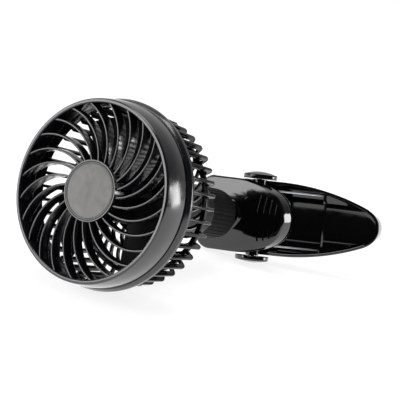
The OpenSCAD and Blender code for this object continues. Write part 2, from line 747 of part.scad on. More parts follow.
// A round tube along a path, one ring of six points at each point of the path
module wire(path) {
    sides = 6;
    last = len(path) - 1;
    ways = [for (i = [0 : last]) let(d = path[min(i + 1, last)] - path[max(i - 1, 0)]) d / norm(d)];
    rings = [for (i = [0 : last])
        let(out = cross(ways[i], [0, 0, 1]), n = out / norm(out), b = cross(ways[i], n))
        for (k = [0 : sides - 1]) path[i] + wire_r * (cos(60 * k) * n + sin(60 * k) * b)];
    walls = [for (i = [0 : last - 1], k = [0 : sides - 1], half = [0, 1])
        let(j = (k + 1) % sides, a = i * sides)
        half == 0 ? [a + k, a + sides + k, a + sides + j] : [a + k, a + sides + j, a + j]];
    caps = [for (k = [1 : sides - 2], end = [0, last]) let(a = end * sides)
        end == 0 ? [a, a + k, a + k + 1] : [a, a + k + 1, a + k]];
    polyhedron(rings, concat(walls, caps));
}
module upper_spring() {
    color([0.6, 0.62, 0.65]) on_table() wire(wire_path);
}
module lower_spring() {
    color([0.6, 0.62, 0.65]) on_table() mirror([0, 0, 1]) wire(wire_path);
}

front_grille();
hub_badge();
rear_cage();
cage_screws();
impeller();
impeller_nut();
motor_shaft();
armature();
front_bush();
rear_bush();
motor_can();
motor_end_cap();
motor_housing();
speed_switch();
switch_slider();
cord_gland();
ball_seat();
lock_collar();
ball_stud();
stud_nut();
front_jaw();
front_pad();
rear_jaw();
rear_pad();
hinge_pin();
upper_pin_cap();
lower_pin_cap();
upper_spring();
lower_spring();
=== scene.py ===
from math import acos, atan2, ceil, cos, hypot, pi, radians, sin, sqrt, tan

import bmesh
import bpy
from mathutils import Matrix, Vector


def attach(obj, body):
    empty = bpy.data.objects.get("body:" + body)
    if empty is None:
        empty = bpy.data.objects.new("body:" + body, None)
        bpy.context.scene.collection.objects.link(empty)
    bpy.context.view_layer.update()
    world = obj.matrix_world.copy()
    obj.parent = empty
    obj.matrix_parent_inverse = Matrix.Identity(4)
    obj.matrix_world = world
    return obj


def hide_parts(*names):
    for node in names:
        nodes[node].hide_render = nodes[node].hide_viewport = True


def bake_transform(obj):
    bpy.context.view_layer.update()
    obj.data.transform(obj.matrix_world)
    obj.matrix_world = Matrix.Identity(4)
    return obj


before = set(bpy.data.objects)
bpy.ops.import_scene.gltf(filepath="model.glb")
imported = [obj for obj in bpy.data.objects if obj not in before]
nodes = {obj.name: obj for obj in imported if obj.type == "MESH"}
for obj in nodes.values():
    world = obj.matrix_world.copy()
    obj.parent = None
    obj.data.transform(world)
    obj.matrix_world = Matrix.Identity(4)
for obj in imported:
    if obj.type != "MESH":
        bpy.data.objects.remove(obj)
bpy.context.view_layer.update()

# Rear lever: the long boat-shaped handle with the back jaw, which everything else is built on.
# Black ABS, moulded in one shot with its stiffening ribs, the spring channels and the two ears for the
# pin. The polished tool leaves the outside glossy, and the hollow side shows the ribs' thin bright edges.
clip_half = 29.8
clip_wall = 2.2
jaw_len = 46.0
jaw_corner = 11.0
handle_len = 102.0
handle_flare = 7.0
handle_side_start = 18.0
handle_side_r = 175.0
handle_lift = 0.00137
handle_lift_len = 42.0
rear_half = clip_half - 0.5
rear_depth = 22.0
rear_rim = 6.0
bow_radius = 110.0
meet_y = 4.8
mouth_gap = 0.9
clip_angle = 22.0
pad_lean = radians(clip_angle / 2)
rim_r = 0.4
inner_rim_r = 0.35
face_edge_r = 0.9
inner_edge_r = 1.0
rib_t = 1.6
rib_h = 9.0
rib_sink = 0.8
cross_x = 53.0
cross_half = 18.0
channel_z = (15.0, 24.4)
channel_len = 33.0
leg_stop_z = 20.0
leg_stop_half = 4.6
long_rib_z = 13.0
long_rib_len = 35.0
ear_r = 6.0
ear_half = 13.0
ear_foot_y = 15.0
ear_t = 2.1
ear_outside = 25.4
spring_leg_end = (51.5, 15.6)

# The lever's own frame, in millimetres: X along the handle, Y away from the fan, Z up the hinge pin.
rear_lever = (
    Matrix.Scale(0.001, 4)
    @ Matrix.Translation((35.29, 84.6, 36.05))
    @ Matrix.Rotation(radians(-5.94), 4, "Y")
    @ Matrix.Rotation(radians(-12.67), 4, "X")
)


def linear(hex_colour):
    """The linear colour of an sRGB hex value."""
    channels = [int(hex_colour[i : i + 2], 16) / 255 for i in (1, 3, 5)]
    return [c / 12.92 if c <= 0.04045 else ((c + 0.055) / 1.055) ** 2.4 for c in channels] + [1.0]


def add(tree, kind, feeds=None, **settings):
    """Adds a node; feeds are values or other nodes' outputs for its inputs, settings its own options."""
    made = tree.nodes.new("ShaderNode" + kind)
    for name, value in settings.items():
        setattr(made, name, value)
    for name, value in (feeds or {}).items():
        if isinstance(value, bpy.types.NodeSocket):
            tree.links.new(value, made.inputs[name])
        else:
            made.inputs[name].default_value = value
    return made


def moulded(name, dark, light, roughness, swing, grain_mm, grain_depth_mm, wave_depth_mm=0.0, sheen=0.5):
    """Injection-moulded plastic: small swings of tone and gloss, the tool's grain, and slow sink waves.

    sheen is the specular level: 0.5 is bare plastic, and a textured or soft-touch skin has less."""
    material = bpy.data.materials.new(name)
    material.use_nodes = True
    tree = material.node_tree
    surface = tree.nodes["Principled BSDF"]
    place = add(tree, "TexCoord").outputs["Object"]
    clouds = add(tree, "TexNoise", {"Vector": place, "Scale": 1000 / 14, "Detail": 3.0})
    tone = add(tree, "ValToRGB", {"Fac": clouds.outputs["Fac"]})
    for stop, position, colour in zip(tone.color_ramp.elements, (0.35, 0.68), (dark, light)):
        stop.position = position
        stop.color = linear(colour)
    rub = add(tree, "TexNoise", {"Vector": place, "Scale": 1000 / 5, "Detail": 4.0})
    gloss = add(tree, "MapRange", {"Value": rub.outputs["Fac"], "From Min": 0.3, "From Max": 0.7,
                                   "To Min": roughness - swing, "To Max": roughness + swing})
    grain = add(tree, "TexNoise", {"Vector": place, "Scale": 1000 / grain_mm, "Detail": 2.0})
    relief = add(tree, "Bump", {"Height": grain.outputs["Fac"], "Distance": grain_depth_mm / 1000})
    if wave_depth_mm:
        waves = add(tree, "TexNoise", {"Vector": place, "Scale": 1000 / 22, "Detail": 1.0})
        relief = add(tree, "Bump", {"Height": waves.outputs["Fac"], "Distance": wave_depth_mm / 1000,
                                    "Normal": relief.outputs["Normal"]})
    tree.links.new(tone.outputs["Color"], surface.inputs["Base Color"])
    tree.links.new(gloss.outputs["Result"], surface.inputs["Roughness"])
    tree.links.new(relief.outputs["Normal"], surface.inputs["Normal"])
    surface.inputs["IOR"].default_value = 1.53
    surface.inputs["Specular IOR Level"].default_value = sheen
    return material


# Polished black ABS: deep black with clear, slightly wavy reflections.
gloss_abs = moulded("gloss_black_abs", "#040405", "#080809", 0.08, 0.03, 0.6, 0.002, 0.02)


def finish_piece(mesh, name, place, material, body, slot, *replaced):
    mesh.transform(place)
    bmesh.ops.recalc_face_normals(mesh, faces=mesh.faces)
    for face in mesh.faces:
        face.smooth = True
    for edge in mesh.edges:
        if len(edge.link_faces) == 2 and edge.calc_face_angle(0) > radians(34):
            edge.smooth = False
    data = bpy.data.meshes.new(name)
    mesh.to_mesh(data)
    mesh.free()
    data.materials.append(material)
    piece = bpy.data.objects.new(name, data)
    bpy.context.scene.collection.objects.link(piece)
    if body:
        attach(piece, body)
    if replaced:
        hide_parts(*replaced)
    return piece


def set_in(mesh, extra, places=(Matrix(),)):
    """Adds a copy of a small bmesh at each of the places, and frees it."""
    copy = bpy.data.meshes.new("copy")
    extra.to_mesh(copy)
    extra.free()
    for place in places:
        start = len(mesh.verts)
        mesh.from_mesh(copy)
        mesh.verts.ensure_lookup_table()
        bmesh.ops.transform(mesh, matrix=place, verts=mesh.verts[start:])
    bpy.data.meshes.remove(copy)


def softened(mesh, width, segments=2, sharper_than=40):
    """Rounds the sharp edges of a small bmesh."""
    sharp = [e for e in mesh.edges if e.is_manifold and e.calc_face_angle(0) > radians(sharper_than)]
    bmesh.ops.bevel(mesh, geom=sharp, offset=width, segments=segments, profile=0.5, affect="EDGES",
                    material=-1, clamp_overlap=True)
    return mesh


def raised(outline, low, high):
    """A plate: an outline in the XY plane raised from one height to another."""
    mesh = bmesh.new()
    ring = [mesh.verts.new((x, y, low)) for x, y in outline]
    edges = [mesh.edges.new(pair) for pair in zip(ring, ring[1:] + ring[:1])]
    made = bmesh.ops.extrude_edge_only(mesh, edges=edges)["geom"]
    top = [g for g in made if isinstance(g, bmesh.types.BMVert)]
    bmesh.ops.translate(mesh, vec=(0, 0, high - low), verts=top)
    bmesh.ops.holes_fill(mesh, edges=[e for e in mesh.edges if e.is_boundary])
    bmesh.ops.recalc_face_normals(mesh, faces=mesh.faces)
    return mesh


def block(corner, size):
    """A rib or block from its low corner and its size."""
    x, y, z = corner
    return raised([(x, y), (x + size[0], y), (x + size[0], y + size[1]), (x, y + size[1])], z, z + size[2])


def lever_outline(half, start, side_r, tip, inset, count):
    """Points round a lever seen square to its face: a square jaw, then one arc that runs into a round tip."""
    end_r = (side_r**2 - (tip - start) ** 2 - (side_r - half) ** 2) / (2 * (side_r - tip + start))
    turn = atan2(tip - end_r - start, side_r - half)
    side = []
    for i in range(13):
        a = pi / 2 * i / 12
        side.append((-jaw_len + inset + (jaw_corner - inset) * (1 - cos(a)),
                     half - jaw_corner + (jaw_corner - inset) * sin(a)))
    for i in range(49):
        a = turn * i / 48
        side.append((start + (side_r - inset) * sin(a), half - side_r + (side_r - inset) * cos(a)))
    for i in range(1, 25):
        a = turn + (pi / 2 - turn) * i / 24
        side.append((tip - end_r + (end_r - inset) * sin(a), (end_r - inset) * cos(a)))
    loop = side + [(x, -z) for x, z in side[-2::-1]] + side[:1]
    lengths = [0.0]
    for (x0, z0), (x1, z1) in zip(loop, loop[1:]):
        lengths.append(lengths[-1] + hypot(x1 - x0, z1 - z0))
    points, k = [], 0
    for i in range(count):
        want = lengths[-1] * i / count
        while lengths[k + 1] < want:
            k += 1
        part = (want - lengths[k]) / (lengths[k + 1] - lengths[k])
        points.append([a + part * (b - a) for a, b in zip(loop[k], loop[k + 1])])
    return points


crown_at = 0.6
crown_from, crown_full = 4.0, 18.0


def lever_shell(shape, levels, rim_at, face_at, toward, middle_x, count, face_rings, crown=0.0):
    """A lever's shell: from the rim out over the wall and the face, and from the rim in over the inside.

    levels are two (height, tip, inset) that the leaning wall runs through; toward is the face's side of Y;
    crown is how far the wall stands out near the lever's tip, at crown_at of its height from the face."""

    def level_ring(height_at, inset):
        (y0, tip0, inset0), (y1, tip1, inset1) = levels
        low = lever_outline(*shape, tip0, inset0 + inset, count)
        high = lever_outline(*shape, tip1, inset1 + inset, count)
        wider = lever_outline(*shape, tip0, inset0 + inset - 1, count)
        ring = []
        for a, b, out in zip(low, high, wider):
            part = 0.5
            for _ in range(4):
                x, z = (p + part * (q - p) for p, q in zip(a, b))
                y = height_at(x, z)
                part = (y - y0) / (y1 - y0)
            near_tip = min(max((x - crown_from) / (crown_full - crown_from), 0), 1)
            swell = crown * max(min(part / crown_at, 1) - part, 0) / (1 - crown_at) * near_tip
            ring.append((x + swell * (out[0] - a[0]), y, z + swell * (out[1] - a[1])))
        return ring

    def inner_face(x, z):
        return face_at(x, z) - toward * clip_wall

    mesh = bmesh.new()
    rim = [mesh.verts.new(p) for p in level_ring(rim_at, rim_r)]
    for pair in zip(rim, rim[1:] + rim[:1]):
        mesh.edges.new(pair)

    def grow(ring, points):
        """Extrudes a ring of vertices to the given points."""
        edges = [mesh.edges.get(pair) for pair in zip(ring, ring[1:] + ring[:1])]
        made = set(bmesh.ops.extrude_edge_only(mesh, edges=edges)["geom"])
        fresh = [next(e.other_vert(v) for e in v.link_edges if e.other_vert(v) in made) for v in ring]
        for vert, point in zip(fresh, points):
            vert.co = point
        return fresh

    def skin(height, edge_r, inset, rings):
        """One side of the shell: round the rim, along the wall, round the edge and over the face."""
        ring = rim
        if inset:
            ring = grow(ring, level_ring(rim_at, inset - inner_rim_r))
            ring = grow(ring, level_ring(lambda x, z: rim_at(x, z) + toward * inner_rim_r, inset))
        else:
            ring = grow(ring, level_ring(lambda x, z: rim_at(x, z) + toward * 0.3 * rim_r, 0.3 * rim_r))
            ring = grow(ring, level_ring(lambda x, z: rim_at(x, z) + toward * rim_r, 0))
        for i in range(1, 9):
            part = i / 8
            ring = grow(ring, level_ring(
                lambda x, z: (1 - part) * (rim_at(x, z) + toward * rim_r)
                + part * (height(x, z) - toward * edge_r), inset))
        for i in range(1, 5):
            a = pi / 2 * i / 4
            ring = grow(ring, level_ring(
                lambda x, z: height(x, z) - toward * edge_r * (1 - sin(a)), inset + edge_r * (1 - cos(a))))
        last = [(v.co.x, v.co.z) for v in ring]
        for i in range(1, rings + 1):
            part = 1 - i / rings
            flat = [(middle_x + (x - middle_x) * part, z * part) for x, z in last]
            ring = grow(ring, [(x, height(x, z), z) for x, z in flat])

    skin(face_at, face_edge_r, 0, face_rings)
    skin(inner_face, inner_edge_r, clip_wall, 24)
    bmesh.ops.remove_doubles(mesh, verts=mesh.verts, dist=0.0005)
    return mesh


def bow_at(z):
    """How far a lever's bowed face falls back beside its middle."""
    return bow_radius - sqrt(bow_radius**2 - z * z)


def rear_rim_at(x, z):
    """The handle's rim, and for the jaw the plane in which the pads meet."""
    return rear_rim if x > 0 else max(meet_y + mouth_gap - x * tan(pad_lean), rear_rim - 0.001)


def rear_back_at(x, z):
    """The handle's back, which lifts towards the tip."""
    return rear_depth - handle_lift * max(x - handle_len + handle_lift_len, 0) ** 2.2 - bow_at(z)


mesh = lever_shell((rear_half, handle_side_start, handle_side_r),
                   ((0, handle_len - handle_flare, 0), (rear_depth, handle_len, 0)),
                   rear_rim_at, rear_back_at, toward=1, middle_x=20.0, count=240, face_rings=40)
rib_y = rear_depth - clip_wall - 0.9 - rib_h
rib_foot = rib_h + rib_sink
ribs = [((cross_x, rib_y, -cross_half), (rib_t, rib_foot, 2 * cross_half))]
for side in (-1, 1):
    for z in channel_z:
        ribs.append(((cross_x - channel_len, rib_y, side * z - rib_t / 2), (channel_len, rib_foot, rib_t)))
    ribs.append(((spring_leg_end[0] + 0.1, rib_y, side * leg_stop_z - leg_stop_half),
                 (rib_t, rib_foot, 2 * leg_stop_half)))
    ribs.append(((cross_x + 1, rib_y + 1, side * long_rib_z - rib_t / 2), (long_rib_len, rib_h - 2, rib_t)))
for corner, size in ribs:
    set_in(mesh, softened(block(corner, size), 0.25))
ear = [(ear_r * cos(radians(a)), ear_r * sin(radians(a))) for a in range(122, 419, 8)]
ear += [(ear_half, ear_foot_y), (ear_half, rear_depth - 3), (-ear_half, rear_depth - 3),
        (-ear_half, ear_foot_y)]
set_in(mesh, softened(raised(ear, -ear_t / 2, ear_t / 2), 0.3),
       [Matrix.Translation((0, 0, side * (ear_outside - ear_t / 2))) for side in (-1, 1)])
finish_piece(mesh, "handle_lever", rear_lever, gloss_abs, "rear_lever", "black_gloss", "rear_jaw")

# Jaw pads: a ridged strip of black rubber glued into each jaw, which grips the rail or board.
# Moulded chloroprene: matt, a little greyer than the plastic round it, with a chalky bloom.
rubber = moulded("moulded_black_rubber", "#121212", "#1c1c1b", 0.72, 0.08, 0.35, 0.03)
for name in ("front_pad", "rear_pad"):
    nodes[name].data.materials.clear()
    nodes[name].data.materials.append(rubber)

# Front lever: the front jaw with the thumb plate, and the boss for the ball's post on its face.
# The same polished black ABS. The thumb plate has a shallow round dish with curved grip ridges.
front_depth = 12.6
front_rim = 4.9
thumb_len = 30.9
plate_side_start = -15.0
plate_side_r = 62.0
plate_crown = 1.24
face_inset = 1.2
face_taper = 3.1
post_x = 20.0
post_hole_r = 4.05
boss_foot_r = 12.5
boss_r = 10.0
boss_h = 8.0
pin_hole_r = 2.55
neck_r = 5.2
dish_x = 7.4
dish_r = 18.8
dish_deep = 2.4
ridge_places = (4.2, 9.3, 14.4, 19.2)
ridge_bend = 50.0
ridge_section = [(-0.55, 0.3), (-0.42, -0.28), (-0.2, -0.5), (0.2, -0.5), (0.42, -0.28), (0.55, 0.3)]
kink_x = -5.5
kink_fall = tan(radians(2.0))
jaw_fall_len = 20.0
dish_sphere = (dish_r**2 + dish_deep**2) / (2 * dish_deep)
front_lever = rear_lever @ Matrix.Rotation(radians(-clip_angle), 4, "Z")


def front_rim_at(x, z):
    """The thumb plate's rim, and for the jaw the plane in which the pads meet."""
    return front_rim if x > 0 else min(meet_y - mouth_gap + x * tan(pad_lean), front_rim)


def kink_at(x):
    """How far the face falls back on both sides of the slight kink between the jaw and the thumb plate."""
    return kink_fall * min(max(kink_x - x, 0), jaw_fall_len) + kink_fall * max(x - kink_x, 0)


def dish_at(x, z):
    """The dish's surface under a point of the face, or a point far outside where it has none."""
    reach = dish_sphere**2 - (x - dish_x) ** 2 - z * z
    return -front_depth - dish_sphere + dish_deep + sqrt(max(reach, 0)) + kink_at(x)


def face_at(x, z):
    """The bowed face with the dish in it, whose edge is rolled over a little."""
    bowed = -front_depth + bow_at(z) + kink_at(x)
    deeper = dish_at(x, z) - bowed
    return bowed + (deeper + sqrt(deeper * deeper + 0.05)) / 2 - 0.02


mesh = lever_shell((clip_half, plate_side_start, plate_side_r),
                   ((-front_depth, thumb_len - face_taper, face_inset), (front_rim, thumb_len, 0)),
                   front_rim_at, face_at, toward=-1, middle_x=-6.0, count=200, face_rings=52,
                   crown=plate_crown)
for ridge_x in ridge_places:
    reach = 0.0
    while hypot(ridge_x + reach**2 / (2 * ridge_bend) - dish_x, reach) < dish_r - 1.2:
        reach += 0.5
    ridge = bmesh.new()
    stations = [reach * (i / 12 - 1) for i in range(25)]
    rings = []
    for z in stations:
        x = ridge_x + z * z / (2 * ridge_bend)
        rings.append([ridge.verts.new((x + u, dish_at(x, z) + v, z)) for u, v in ridge_section])
    for ring in rings:
        for pair in zip(ring, ring[1:] + ring[:1]):
            ridge.edges.new(pair)
    for a, b in zip(rings, rings[1:]):
        loops = [ridge.edges.get(pair) for ring in (a, b) for pair in zip(ring, ring[1:] + ring[:1])]
        bmesh.ops.bridge_loops(ridge, edges=loops)
    bmesh.ops.holes_fill(ridge, edges=[e for e in ridge.edges if e.is_boundary])
    set_in(mesh, ridge)


def turned(outline, steps=96, closed=True):
    """A body of revolution round Z from an outline of (radius, height) points."""
    mesh = bmesh.new()
    points = [mesh.verts.new((r, 0, z)) for r, z in outline]
    pairs = list(zip(points, points[1:])) + ([(points[-1], points[0])] if closed else [])
    edges = [mesh.edges.new(pair) for pair in pairs]
    bmesh.ops.spin(mesh, geom=points + edges, cent=(0, 0, 0), axis=(0, 0, 1), angle=2 * pi, steps=steps,
                   use_merge=True)
    bmesh.ops.remove_doubles(mesh, verts=mesh.verts, dist=0.0005)
    bmesh.ops.recalc_face_normals(mesh, faces=mesh.faces)
    return mesh


def eased(outline, radius, closed=True):
    """Rounds the corners of an outline, each with a short curve."""
    points = [Vector(p) for p in outline]
    out = []
    for i, corner in enumerate(points):
        if not closed and i in (0, len(points) - 1):
            out.append(corner)
            continue
        before, after = points[i - 1] - corner, points[(i + 1) % len(points)] - corner
        start = corner + before.normalized() * min(radius, 0.45 * before.length)
        end = corner + after.normalized() * min(radius, 0.45 * after.length)
        for t in (0, 0.25, 0.5, 0.75, 1):
            out.append((1 - t) ** 2 * start + 2 * t * (1 - t) * corner + t * t * end)
    return [tuple(p) for p in out]


boss = turned(eased([(post_hole_r, -3), (boss_foot_r, -3), (boss_foot_r, -0.6), (boss_r, 0.8),
                     (boss_r, boss_h), (post_hole_r, boss_h)], 0.9), 64)
set_in(mesh, boss, [Matrix.Translation((-post_x, -front_depth + 0.3, 0)) @ Matrix.Rotation(pi / 2, 4, "X")])
neck_len = clip_half - ear_outside
neck = turned([(pin_hole_r, 0), (neck_r, 0), (neck_r, neck_len), (pin_hole_r, neck_len)], 48)
set_in(mesh, neck, [Matrix.Translation((0, 0, ear_outside)), Matrix.Translation((0, 0, -clip_half))])
finish_piece(mesh, "thumb_lever", front_lever, gloss_abs, "front_lever", "black_gloss", "front_jaw")

# Hinge pin and its caps: a zinc-plated steel pin under two pressed-on domed caps of polished ABS.
# The caps stand clear of the levers on short necks, with a rounded rim round a shallow dome.
cap_r = 13.4
cap_t = 3.3
cap_dome = 2.6
cap_low = clip_half + 0.3
dome_r = (cap_r**2 + cap_dome**2) / (2 * cap_dome)
dome_angle = acos(1 - cap_dome / dome_r)
cap_top = cap_low + cap_t + cap_dome
dome = [(dome_r * sin(i * dome_angle / 12), cap_top - dome_r * (1 - cos(i * dome_angle / 12)))
        for i in range(12)]
cap_side = eased([(cap_r - 0.5, cap_low + cap_t + 0.35), (cap_r, cap_low + cap_t - 0.6),
                  (cap_r - 0.1, cap_low), (5, cap_low)], 0.5, False)
for name, side in (("upper_pin_cap", 1), ("lower_pin_cap", -1)):
    mesh = turned(dome + cap_side + [(0, cap_low)], 96, False)
    place = rear_lever @ Matrix.Diagonal((1, 1, side, 1))
    finish_piece(mesh, name.replace("pin_cap", "cap"), place, gloss_abs, "rear_lever", "black_gloss", name)


def turned_steel(name, dark, light, roughness, line_mm):
    """Bright steel: fine drawing or turning lines that break the reflections along the piece."""
    material = bpy.data.materials.new(name)
    material.use_nodes = True
    tree = material.node_tree
    surface = tree.nodes["Principled BSDF"]
    place = add(tree, "TexCoord").outputs["Object"]
    patches = add(tree, "TexNoise", {"Vector": place, "Scale": 1000 / 6, "Detail": 4.0})
    tone = add(tree, "ValToRGB", {"Fac": patches.outputs["Fac"]})
    for stop, position, colour in zip(tone.color_ramp.elements, (0.3, 0.7), (dark, light)):
        stop.position = position
        stop.color = linear(colour)
    gloss = add(tree, "MapRange", {"Value": patches.outputs["Fac"], "From Min": 0.3, "From Max": 0.7,
                                   "To Min": roughness - 0.06, "To Max": roughness + 0.08})
    lines = add(tree, "TexNoise", {"Vector": place, "Scale": 1000 / line_mm, "Detail": 1.0})
    relief = add(tree, "Bump", {"Height": lines.outputs["Fac"], "Distance": 0.000006})
    tree.links.new(tone.outputs["Color"], surface.inputs["Base Color"])
    tree.links.new(gloss.outputs["Result"], surface.inputs["Roughness"])
    tree.links.new(relief.outputs["Normal"], surface.inputs["Normal"])
    surface.inputs["Metallic"].default_value = 1.0
    return material


# Zinc-plated steel: light grey metal, softly cloudy where the plating's crystals turn.
plated_steel = turned_steel("zinc_plated_steel", "#9a9da1", "#c3c6ca", 0.3, 0.4)
for name in ("hinge_pin", "stud_nut", "motor_can", "motor_shaft", "cage_screws", "impeller_nut"):
    nodes[name].data.materials.clear()
    nodes[name].data.materials.append(plated_steel)

# Torsion springs: one round the pin on each side, with a leg in the handle and one under the thumb plate.
# Drawn spring steel, 1.8 mm, bright and smooth with faint drawing lines; four coils and two straight legs.
wire_r = 0.9
coil_r = 6.6
coil_pitch = 2.4
coil_turns = 4
coil_z = 21.8
thumb_leg_end = (9.5, -7.4)
thumb_leg = Matrix.Rotation(radians(-clip_angle), 2) @ Vector(thumb_leg_end)
leg_angle = atan2(spring_leg_end[1], spring_leg_end[0]) + acos(coil_r / hypot(*spring_leg_end))
thumb_angle = atan2(thumb_leg.y, thumb_leg.x) - acos(coil_r / thumb_leg.length) + 2 * pi
coil_sweep = thumb_angle - leg_angle + 2 * pi * coil_turns
coil_steps = ceil(coil_sweep / radians(12))
wire_path = [Vector((*spring_leg_end, coil_z))]
for i in range(coil_steps + 1):
    turned_by = coil_sweep * i / coil_steps
    a = leg_angle + turned_by
    wire_path.append(Vector((coil_r * cos(a), coil_r * sin(a), coil_z - coil_pitch * turned_by / 2 / pi)))
wire_path.append(Vector((*thumb_leg, wire_path[-1].z)))
spring_steel = turned_steel("drawn_spring_steel", "#cfd3d7", "#f0f2f4", 0.36, 0.25)
spring_steel.node_tree.nodes["Principled BSDF"].inputs["Metallic"].default_value = 0.55


def wire(path, radius, sides=16):
    """A round wire along a path, with domed ends: one circle, extruded from point to point."""
    mesh = bmesh.new()
    ring = bmesh.ops.create_circle(mesh, radius=1, segments=sides)["verts"]
    angles = [atan2(v.co.y, v.co.x) for v in ring]
    last = len(path) - 1
    ways = [(path[min(i + 1, last)] - path[max(i - 1, 0)]).normalized() for i in range(last + 1)]
    stations = [(path[0] - ways[0] * radius * 0.35, ways[0], radius * 0.6)]
    stations += [(point, way, radius) for point, way in zip(path, ways)]
    stations.append((path[-1] + ways[-1] * radius * 0.35, ways[-1], radius * 0.6))
    for i, (point, way, size) in enumerate(stations):
        if i:
            edges = [e for e in mesh.edges if e.is_boundary or e.is_wire]
            edges = [e for e in edges if all(v in ring for v in e.verts)]
            made = set(bmesh.ops.extrude_edge_only(mesh, edges=edges)["geom"])
            ring = [next(e.other_vert(v) for e in v.link_edges if e.other_vert(v) in made) for v in ring]
        out = way.cross(Vector((0, 0, 1))).normalized()
        over = way.cross(out)
        for vert, a in zip(ring, angles):
            vert.co = point + size * (cos(a) * out + sin(a) * over)
    bmesh.ops.holes_fill(mesh, edges=[e for e in mesh.edges if e.is_boundary])
    return mesh


# Each spring is built in the handle's frame, the lower one mirrored, and baked in place without riding on
# either lever.
for name, side in (("upper_spring", 1), ("lower_spring", -1)):
    place = rear_lever @ Matrix.Diagonal((1, 1, side, 1))
    spring = finish_piece(wire(wire_path, wire_r), name.replace("spring", "torsion_spring"), place,
                          spring_steel, None, "spring_steel", name)
    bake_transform(spring)

# Ball joint: a steel ball and post in the front lever's boss, held from behind by a round nut, and the
# split grey acetal seat that grips the ball inside the motor housing's neck.
blackened_steel = turned_steel("blackened_steel", "#1b1c1e", "#2c2d30", 0.32, 0.4)
acetal = moulded("grey_acetal", "#6f7072", "#7d7e80", 0.38, 0.05, 0.5, 0.006)
for name, material in (("ball_stud", blackened_steel), ("ball_seat", acetal)):
    nodes[name].data.materials.clear()
    nodes[name].data.materials.append(material)

# Motor: a small brushed motor in a plated can, with a cream end cap, bronze bushes and a wound core.
# It sits behind the cage; only its front end and the shaft's nut show between the ribs.
cream = moulded("cream_nylon", "#cbc4b2", "#d8d2c2", 0.45, 0.06, 0.4, 0.008)
bronze = turned_steel("sintered_bronze", "#8a6334", "#b08850", 0.42, 0.2)
copper = turned_steel("enamelled_copper_wire", "#8c4a22", "#b8683a", 0.35, 0.3)
for name, material in (("motor_end_cap", cream), ("front_bush", bronze), ("rear_bush", bronze),
                       ("armature", copper)):
    nodes[name].data.materials.clear()
    nodes[name].data.materials.append(material)

# Motor housing: a satin black drum behind the cage, with the speed switch and the rubber gland in its wall.
# Glass-filled nylon, so its gloss is broader than the levers' and its skin slightly cloudy.
satin_nylon = moulded("satin_black_nylon", "#0d0d0e", "#151516", 0.3, 0.06, 0.45, 0.008, sheen=0.08)
grey_plastic = moulded("grey_abs", "#85868a", "#929397", 0.4, 0.05, 0.5, 0.008)
for name, material in (("motor_housing", satin_nylon), ("speed_switch", satin_nylon),
                       ("switch_slider", grey_plastic), ("cord_gland", rubber)):
    nodes[name].data.materials.clear()
    nodes[name].data.materials.append(material)

# The head's own frame, in millimetres: Z along the fan's axis to the front, from the ball's centre.
ball_height = 26.0
head_tilt = 4.35
head_pan = 8.4
head = (
    front_lever
    @ Matrix.Translation((-post_x, -front_depth - ball_height, 0))
    @ Matrix.Rotation(radians(-head_pan), 4, "Z")
    @ Matrix.Rotation(radians(90 - head_tilt), 4, "X")
)
lip_z = 160.0
seam_z = 140.0
band_z = 133.0
back_z = 93.5
duct_r = 60.3

# Lock collar: the fluted grip behind the motor housing, which is turned to clamp the ball.
# Soft-touch black over nylon: matt, with 36 scallops round it and a domed back.
soft_touch = moulded("soft_touch_black", "#0b0b0b", "#121211", 0.5, 0.06, 0.4, 0.008, sheen=0.03)
collar_r = 19.4
collar_bore_r = 16.4
collar_top_z = 29.7
dome_z = 2.0
dome_corner_r = 7.8
dome_h = 9.4
mouth_z = -4.8
scallops = 36
scallop_deep = 0.55
scallop_low, scallop_high = -1.0, 28.6
outline = [(collar_r, collar_top_z)] + [(collar_r, 28 - i * 2.0) for i in range(13)]
outline += [(collar_r - dome_corner_r + dome_corner_r * cos(radians(a)), dome_z - dome_h * sin(radians(a)))
            for a in range(10, 91, 10)]
outline += [(10.2, dome_z - dome_h), (9.3, mouth_z), (collar_bore_r, mouth_z), (collar_bore_r, collar_top_z)]
mesh = turned(eased(outline, 0.6), scallops * 8)
for vert in mesh.verts:
    radius = hypot(vert.co.x, vert.co.y)
    if radius > collar_bore_r + 0.8 and scallop_low < vert.co.z < scallop_high:
        depth = scallop_deep * max(cos(scallops * atan2(vert.co.y, vert.co.x)), 0) ** 0.7
        depth *= min(1, (scallop_high - vert.co.z) / 1.5, (vert.co.z - scallop_low) / 3)
        vert.co.xy *= 1 - depth / radius
finish_piece(mesh, "lock_collar_grip", head, soft_touch, "collar", "black_satin", "lock_collar")

# Impeller: a cup-shaped hub with three broad blades that wind a quarter turn round it.
# Matt black ABS that hardly shines; the blades are thick at the tip, with rounded edges front and back.
blade_back_z = 109.5
blade_len = 25.0
blade_wrap = 90.0
blade_phase = 30.0
blade_r = 54.5
blade_root_half = 1.1
blade_tip_half = 2.6
hub_r = 18.0
hub_bore_r = 16.4
hub_core_r = 4.5
shaft_r = 1.55
matt_abs = moulded("matt_black_abs", "#101011", "#161617", 0.5, 0.06, 0.5, 0.004, sheen=0.02)
hub_front_z = blade_back_z + blade_len + 1
mesh = turned(eased([(shaft_r, blade_back_z + 3), (hub_core_r, blade_back_z + 3),
                     (hub_core_r, hub_front_z - 2), (hub_bore_r, hub_front_z - 2),
                     (hub_bore_r, blade_back_z + 1), (hub_r, blade_back_z + 1),
                     (hub_r, hub_front_z), (shaft_r, hub_front_z)], 0.8))
blade = raised([(hub_r - 0.8, -blade_root_half), (blade_r, -blade_tip_half), (blade_r, blade_tip_half),
                (hub_r - 0.8, blade_root_half)], 0, blade_len)
upright = [e for e in blade.edges if abs(e.verts[0].co.z - e.verts[1].co.z) > 1]
bmesh.ops.subdivide_edges(blade, edges=upright, cuts=23, use_grid_fill=True)
softened(blade, 0.5)
